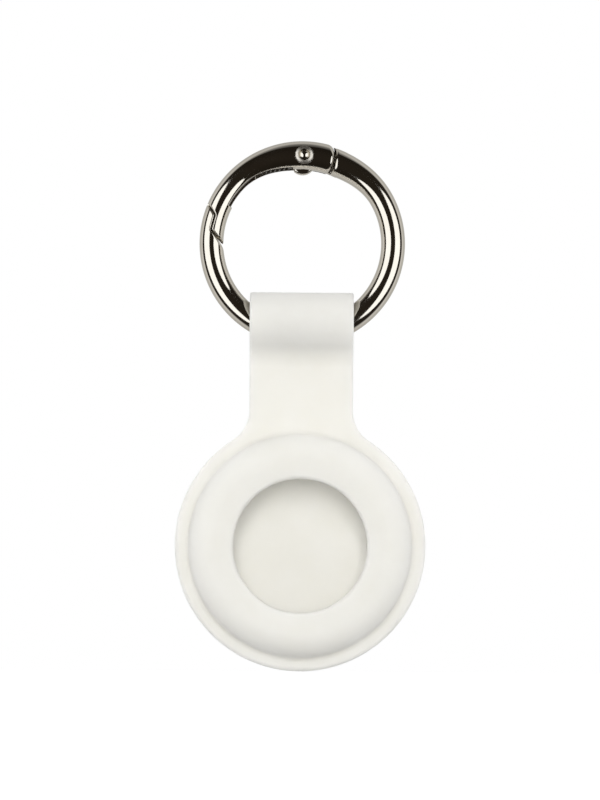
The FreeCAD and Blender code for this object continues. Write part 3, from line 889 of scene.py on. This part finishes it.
def axes_at(origin, x_axis, y_axis, z_axis):
    """Return the matrix that moves a shape to an origin with its axes turned to the given ones."""
    turn = Matrix((x_axis, y_axis, z_axis)).transposed().to_4x4()
    return Matrix.Translation(origin) @ turn


print("a lathe with", LATHE_STEPS, "steps to a turn")

# %% [markdown]
# ## The rivet
# The rivet holds the tongue in the fork. Its front was closed with a spinning punch, which leaves a
# rolled satin rim round a small bright dome. The outline runs from the rear head along the shank to
# the rim and the dome, and an attribute tells the material where the punch left the metal satin.

# %% Rivet
RIVET_HEAD = 1.4
RIVET_FRONT = 2.75
RIVET_BACK = 2.45
RIM_RADIUS = 1.049
RIM_CENTRE = (0.754, RIVET_FRONT - 1.099)
RIM_ANGLES = (52.0, 82.0)
RIM_SATIN = 0.85
SATIN_FROM = 0.825
DOME_RADIUS = 1.04
DOME_FOOT_ANGLE = 38.0
BACK_HEAD_ROUND = 0.2
BACK_POINTS = 7
RIM_POINTS = 13
DOME_POINTS = 17
back_corner = (RIVET_HEAD - BACK_HEAD_ROUND, -RIVET_BACK + BACK_HEAD_ROUND)
dome_centre = (0, RIVET_FRONT - DOME_RADIUS)

rivet_outline = [(0, -RIVET_BACK)] + arc_points(back_corner, BACK_HEAD_ROUND, -90, 0, BACK_POINTS)
rivet_outline += [(RIVET_HEAD, -RIVET_SEAT), (RIVET_SHANK, -RIVET_SEAT)]
rivet_outline += [(RIVET_SHANK, RIVET_SEAT), (RIVET_HEAD, RIVET_SEAT)]
rivet_outline += arc_points(RIM_CENTRE, RIM_RADIUS, *RIM_ANGLES, RIM_POINTS)
rivet_outline += arc_points(dome_centre, DOME_RADIUS, DOME_FOOT_ANGLE, 90, DOME_POINTS)
pivot_point = Vector((PIVOT[0] * MM, 0, PIVOT[1] * MM))
rivet_place = axes_at(pivot_point, (1, 0, 0), (0, 0, 1), (0, -1, 0))
rivet = lathe("rivet_turned", rivet_outline, rivet_place, NICKEL)
rivet_points = np.array([vertex.co for vertex in rivet.data.vertices]) / MM
off_axis, _, _ = from_pivot(rivet_points[:, 0], rivet_points[:, 2])
store(rivet.data, "edge", np.where(off_axis > SATIN_FROM, RIM_SATIN, 0))

# %% [markdown]
# ## The plunger
# Inside the gate a small turned plunger presses on the flat heel of the tongue and pushes the gate
# shut. Its head is domed so that it can slide on the heel, and its stem keeps the spring straight. It
# is turned on the same lathe, along the way that its joint gives.

# %% Plunger
PLUNGER_OFFSET = 1.0
PLUNGER_TIP = 2.03
PLUNGER_HEAD = 0.7
PLUNGER_NOSE = 1.2
NOSE_POINTS = 9
SPRING_START = 2.83
STEM_RADIUS = 0.35
STEM_LENGTH = 2.4
STEM_END = SPRING_START + STEM_LENGTH
STEM_BEVEL = 0.1
HEAD_BEVEL = 0.05
way = Vector((WAY[0], 0, WAY[1]))
inward = Vector((INWARD[0], 0, INWARD[1]))
axis_point = pivot_point + inward * PLUNGER_OFFSET * MM
plunger_place = axes_at(axis_point, (0, 1, 0), inward, way)

nose_angle = math.degrees(math.asin(PLUNGER_HEAD / PLUNGER_NOSE))
nose_centre = (0, PLUNGER_TIP + PLUNGER_NOSE)
plunger_outline = arc_points(nose_centre, PLUNGER_NOSE, -90, -90 + nose_angle, NOSE_POINTS)
plunger_outline += [(PLUNGER_HEAD, SPRING_START - HEAD_BEVEL), (PLUNGER_HEAD - HEAD_BEVEL, SPRING_START)]
plunger_outline += [(STEM_RADIUS, SPRING_START), (STEM_RADIUS, STEM_END - STEM_BEVEL)]
plunger_outline += [(STEM_RADIUS - STEM_BEVEL, STEM_END), (0, STEM_END)]
plunger = lathe("plunger_turned", plunger_outline, plunger_place, STEEL)

# %% [markdown]
# ## The spring
# A compression spring is a wire that follows a helix, which is exactly what Geometry Nodes draw best:
# a spiral curve of so many turns gives the path, and a circle swept along it gives the wire. The sizes
# are inputs of the tree, so the same tree makes any spring. The result is turned into a plain mesh and
# then laid along the plunger's way.

# %% Spring tree
POINTS_PER_TURN = 48
WIRE_SIDES = 16


def spring_tree(material):
    """Return a node group that winds a wire into a spring along Z."""
    tree = bpy.data.node_groups.new("wound_spring", "GeometryNodeTree")
    for name in ("Turns", "Coil Radius", "Wire Radius", "Length"):
        tree.interface.new_socket(name, in_out="INPUT", socket_type="NodeSocketFloat")
    tree.interface.new_socket("Geometry", in_out="OUTPUT", socket_type="NodeSocketGeometry")
    sizes = add_node(tree, "NodeGroupInput").outputs
    path = add_node(tree, "GeometryNodeCurveSpiral", {
        "Resolution": POINTS_PER_TURN, "Rotations": sizes["Turns"], "Start Radius": sizes["Coil Radius"],
        "End Radius": sizes["Coil Radius"], "Height": sizes["Length"]})
    section = add_node(tree, "GeometryNodeCurvePrimitiveCircle", {
        "Resolution": WIRE_SIDES, "Radius": sizes["Wire Radius"]})
    wire = add_node(tree, "GeometryNodeCurveToMesh", {
        "Curve": path.outputs["Curve"], "Profile Curve": section.outputs["Curve"], "Fill Caps": True})
    real = add_node(tree, "GeometryNodeRealizeInstances", {"Geometry": wire.outputs["Mesh"]})
    finish = add_node(tree, "GeometryNodeSetMaterial", {
        "Geometry": real.outputs["Geometry"], "Material": material})
    add_node(tree, "NodeGroupOutput", {"Geometry": finish.outputs["Geometry"]})
    return tree


SPRING_TREE = spring_tree(STEEL)
print(f"{SPRING_TREE.name}: {len(SPRING_TREE.nodes)} nodes")

# %% Spring
SPRING_TURNS = 7.0
SPRING_DIAMETER = 1.5
WIRE_DIAMETER = 0.25
SEAT_GAP = 0.02
SPRING_FIRST = SPRING_START + WIRE_DIAMETER / 2 + SEAT_GAP
SPRING_LAST = SPRING_SEAT - WIRE_DIAMETER / 2 - SEAT_GAP


def grown(name, tree, sizes):
    """Return an object with the plain mesh that a tree grows with the given sizes."""
    made = add_object(name, bpy.data.meshes.new(name + "_seed"))
    modifier = made.modifiers.new("grow", "NODES")
    modifier.node_group = tree
    inputs = [item for item in tree.interface.items_tree if item.in_out == "INPUT"]
    sockets = {item.name: item.identifier for item in inputs}
    for size_name, value in sizes.items():
        modifier[sockets[size_name]] = value
    depsgraph = bpy.context.evaluated_depsgraph_get()
    mesh = bpy.data.meshes.new_from_object(made.evaluated_get(depsgraph))
    made.modifiers.clear()
    made.data = mesh
    mesh.name = name
    print(f"{name}: {len(mesh.vertices)} vertices grown by {tree.name}")
    return made


spring = grown("spring_wound", SPRING_TREE, {
    "Turns": SPRING_TURNS, "Coil Radius": (SPRING_DIAMETER - WIRE_DIAMETER) / 2 * MM,
    "Wire Radius": WIRE_DIAMETER / 2 * MM, "Length": (SPRING_LAST - SPRING_FIRST) * MM})
spring.data.transform(axes_at(axis_point + way * SPRING_FIRST * MM, (0, 1, 0), inward, way))
spring.data.shade_smooth()

# %% [markdown]
# ## Tying the pieces to the frame
# Every piece stands for one CAD node, moves with that node's body and wears the finish made above
# that bears its slot's name. On the real ring the spring is the only piece that changes shape: as the
# gate opens, the plunger slides along its way and shortens the spring towards its seat. Here the
# spring rides on the gate with a mesh of its own.

# %% Ride and replace
PIECES = (
    (holder, "holder", "silicone_holder", "white_silicone"),
    (body, "ring", "ring_body", "polished_nickel"),
    (gate, "gate", "ring_gate", "polished_nickel"),
    (rivet, "gate", "pivot_rivet", "polished_nickel"),
    (plunger, "plunger", "spring_plunger", "spring_steel"),
    (spring, "gate", "gate_spring", "spring_steel"),
)
for piece, moving_body, node, slot in PIECES:
    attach(piece, moving_body)
    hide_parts(node)
    print(f"{piece.name} rides on {moving_body}")

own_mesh(spring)

# %% [markdown]
# ## The camera
# The photograph looks at the front from a little over half a metre, from the height of the pocket, and
# its 800 pixels of height span 127 mm. The distance and the span give the lens: on a sensor 36 mm
# high, the focal length is to the sensor as the distance is to the span. Standing low, the camera sees
# straight into the window but a little up into the ring.

# %% Camera
CAMERA_DISTANCE = 0.6
CAMERA_CLIP = 0.01
CAMERA_Z = -45.0 * MM
VIEW_HEIGHT = 126.7 * MM
VIEW_CENTRE_X = -0.03 * MM
VIEW_CENTRE_Z = -24.8 * MM
CAMERA_ROLL = math.radians(-0.42)

rise = VIEW_CENTRE_Z - CAMERA_Z
camera_data = bpy.data.cameras.new("camera")
camera_data.lens = camera_data.sensor_width * math.hypot(CAMERA_DISTANCE, rise) / VIEW_HEIGHT
camera_data.clip_start = CAMERA_CLIP
camera = add_object("camera", camera_data)
camera.location = (VIEW_CENTRE_X, -CAMERA_DISTANCE, CAMERA_Z)
camera.rotation_euler = (math.pi / 2 + math.atan2(rise, CAMERA_DISTANCE), CAMERA_ROLL, 0)
bpy.context.scene.camera = camera
print(f"lens {camera_data.lens:.1f} mm")

# %% [markdown]
# ## Studio light
# One softbox in front, just above the camera, shades the pocket gently: the lower floor of the window
# is lit, and the upper floor lies in the lip's shadow. A white card low in front lifts the shade under
# the eye and the lip. Polished metal shows only what it mirrors, so it gets panels of its own: two
# tall ovals left and right, leaning apart at the top, which draw the bright bands in the ring. The
# panels are seen only in reflections, and the softbox and the card only by matt surfaces, so each can
# be set without spoiling the other. The light on the rubber is a trace warm, and the panels are a
# trace cool against the yellow of the nickel.

# %% Lamps
SUBJECT = Vector((0, 0, VIEW_CENTRE_Z))
KEY_DISTANCE = 0.7
KEY_ELEVATION = math.radians(10.0)
KEY_SIZE = (0.28, 0.5)
KEY_LEVEL = 9.3
PANEL_DISTANCE = 0.5
PANEL_ANGLE = math.radians(45.0)
PANEL_WIDTH = 0.46
PANEL_Z = -0.02
PANEL_LEVEL = 1.7
PANEL_WHITE = "#F8FBFF"
PANELS = (("panel_left", -1, 0.78, 22.0), ("panel_right", 1, 0.6, -20.0))
CARD_DISTANCE = 0.5
CARD_ELEVATION = math.radians(-40.0)
CARD_SIZE = (0.5, 0.3)
CARD_LEVEL = 0.75
LAMP_WHITE = "#FFFEF9"


def softbox(name, location, size, level, white, lean=0.0):
    """Return an oval area lamp that faces the object, leans sideways and has a face of a given level."""
    data = bpy.data.lights.new(name, "AREA")
    data.shape = "ELLIPSE"
    data.size, data.size_y = size
    data.color = linear(white)[:3]
    face_area = math.pi / 4 * size[0] * size[1]
    data.energy = level * math.pi * face_area
    lamp = add_object(name, data)
    lamp.location = location
    aim = (SUBJECT - Vector(location)).to_track_quat("-Z", "Y")
    lamp.rotation_euler = (aim @ Quaternion((0, 0, 1), lean)).to_euler()
    lamp.visible_camera = False
    print(f"{name}: {data.energy:.2f} W")
    return lamp


def in_front(distance, elevation):
    """Return the place in front of the object at a distance and an elevation."""
    return (0, -distance * math.cos(elevation), SUBJECT.z + distance * math.sin(elevation))


key = softbox("key_softbox", in_front(KEY_DISTANCE, KEY_ELEVATION), KEY_SIZE, KEY_LEVEL, LAMP_WHITE)
card = softbox("white_card", in_front(CARD_DISTANCE, CARD_ELEVATION), CARD_SIZE, CARD_LEVEL, LAMP_WHITE)
key.visible_glossy = False
card.visible_glossy = False
panel_y = -PANEL_DISTANCE * math.cos(PANEL_ANGLE)
for name, side, height, lean in PANELS:
    panel_place = (side * PANEL_DISTANCE * math.sin(PANEL_ANGLE), panel_y, PANEL_Z)
    panel_size = (PANEL_WIDTH, height)
    panel = softbox(name, panel_place, panel_size, PANEL_LEVEL, PANEL_WHITE, math.radians(lean))
    panel.visible_diffuse = False

# %% [markdown]
# ## The room around it
# The photograph's background is pure white, and the camera sees white wherever it looks past the
# object. Reflections that graze the ring see the white backdrop behind it too, and forward ones see
# the dark of the room. Matt surfaces get a weak fill that is stronger from behind, from the sides and
# from above, so the white background does not wash them out.

# %% World and its fill
FILL_EVEN = 0.49
FILL_SIDES = 0.45
FILL_ABOVE = 0.17
FILL_BEHIND = 0.46

world = bpy.data.worlds.new("studio")
world.use_nodes = True
bpy.context.scene.world = world
tree = world.node_tree
tree.nodes.clear()
direction = add_node(tree, "ShaderNodeTexCoord").outputs["Generated"]
toward = add_node(tree, "ShaderNodeSeparateXYZ", {"Vector": direction}).outputs

# The fill grows towards the back with Y, towards the top with Z and towards the sides with X squared
sideways = maths(tree, "MULTIPLY", toward["X"], toward["X"])
from_behind = maths(tree, "MULTIPLY_ADD", toward["Y"], FILL_BEHIND, FILL_EVEN)
from_above = maths(tree, "MULTIPLY_ADD", toward["Z"], FILL_ABOVE, from_behind)
fill = maths(tree, "MULTIPLY_ADD", sideways, FILL_SIDES, from_above)
fill_light = add_node(tree, "ShaderNodeBackground", {"Color": (1, 1, 1, 1), "Strength": fill})
print(f"fill from the sides {FILL_EVEN + FILL_SIDES:.2f}")

# %% Backdrop for reflections
# The ramp goes from the dark room over the bright bend of the paper to the grey paper far behind
BACKDROP_DARK = (0.0, "#2B2620")
BACKDROP_BRIGHT = (0.14, "#FFFFFF")
BACKDROP_GREY = (0.5, "#D4D4D2")
BACKDROP_BEND = 0.3
BACKDROP_FADE = 0.88
BACKDROP_ABOVE = 0.62
BACKDROP_BELOW = 0.66
BACKDROP_BESIDE = 1.0

# The backdrop begins behind the object and bends forward above and below it, as a sweep of paper does,
# and there it also grows lighter more slowly
upright = maths(tree, "MULTIPLY", toward["Z"], toward["Z"])
sweep = maths(tree, "MULTIPLY_ADD", upright, BACKDROP_BEND, toward["Y"])
slowing = maths(tree, "MULTIPLY_ADD", upright, -BACKDROP_FADE, 1.0)
gradual = maths(tree, "MULTIPLY", sweep, slowing)
backdrop = colour_ramp(tree, gradual, BACKDROP_DARK, BACKDROP_GREY, BACKDROP_BRIGHT)
backdrop_level = add_node(tree, "ShaderNodeFloatCurve", {"Value": toward["Z"]})
level_curve = backdrop_level.mapping.curves[0]
backdrop_level.mapping.clip_min_x = -1.0
level_curve.points[0].location = (-1.0, BACKDROP_BELOW)
level_curve.points[1].location = (1.0, BACKDROP_ABOVE)
level_curve.points.new(0.0, BACKDROP_BESIDE)
backdrop_level.mapping.update()
mirror_light = add_node(tree, "ShaderNodeBackground", {
    "Color": backdrop, "Strength": backdrop_level.outputs["Value"]})
print("backdrop with", len(level_curve.points), "levels")

# %% What each kind of ray sees
ray = add_node(tree, "ShaderNodeLightPath").outputs
mirrored = maths(tree, "MAXIMUM", ray["Is Glossy Ray"], ray["Is Transmission Ray"])
seen_in_metal = add_node(tree, "ShaderNodeMixShader", {
    "Fac": mirrored, 1: fill_light.outputs[0], 2: mirror_light.outputs[0]})
white = add_node(tree, "ShaderNodeBackground", {"Color": (1, 1, 1, 1), "Strength": 1.0})
seen = add_node(tree, "ShaderNodeMixShader", {
    "Fac": ray["Is Camera Ray"], 1: seen_in_metal.outputs[0], 2: white.outputs[0]})
add_node(tree, "ShaderNodeOutputWorld", {"Surface": seen.outputs[0]})
bpy.context.scene.view_settings.view_transform = "Standard"
print("the world has", len(tree.nodes), "nodes")

# %% [markdown]
# ## The floor
# A sheet of white paper lies under the object. The photograph shows no floor, so the paper glows for
# the camera just enough to stay white, it is left out of reflections and of the light on the object,
# and from below it is see-through.

# %% Floor
FLOOR_Z = -0.125
FLOOR_HALF = 1.5
FLOOR_GLOW = 0.5
PAPER_WHITE = "#F4F4F2"
PAPER_ROUGHNESS = 0.9

floor_mesh = bpy.data.meshes.new("floor")
floor_corners = ((-1, -1), (1, -1), (1, 1), (-1, 1))
floor_points = [(x * FLOOR_HALF, y * FLOOR_HALF, FLOOR_Z) for x, y in floor_corners]
floor_mesh.from_pydata(floor_points, [], [(0, 1, 2, 3)])
floor = add_object("floor", floor_mesh)
floor_material, tree, shader, _ = new_material("white_paper_floor")
give(tree, shader, {"Base Color": linear(PAPER_WHITE), "Roughness": PAPER_ROUGHNESS})
ray = add_node(tree, "ShaderNodeLightPath").outputs
glow_level = maths(tree, "MULTIPLY", ray["Is Camera Ray"], FLOOR_GLOW)
glow = add_node(tree, "ShaderNodeEmission", {"Color": (1, 1, 1, 1), "Strength": glow_level})
lit = add_node(tree, "ShaderNodeAddShader", {0: shader.outputs[0], 1: glow.outputs[0]})
facing = add_node(tree, "ShaderNodeNewGeometry")
clear = add_node(tree, "ShaderNodeBsdfTransparent")
one_sided = add_node(tree, "ShaderNodeMixShader", {
    "Fac": facing.outputs["Backfacing"], 1: lit.outputs[0], 2: clear.outputs[0]})
tree.links.new(one_sided.outputs[0], tree.nodes["Material Output"].inputs["Surface"])
floor_mesh.materials.append(floor_material)
floor.visible_glossy = False
floor.visible_diffuse = False
floor.visible_shadow = False
print(f"{floor.name}: {2 * FLOOR_HALF} m wide")
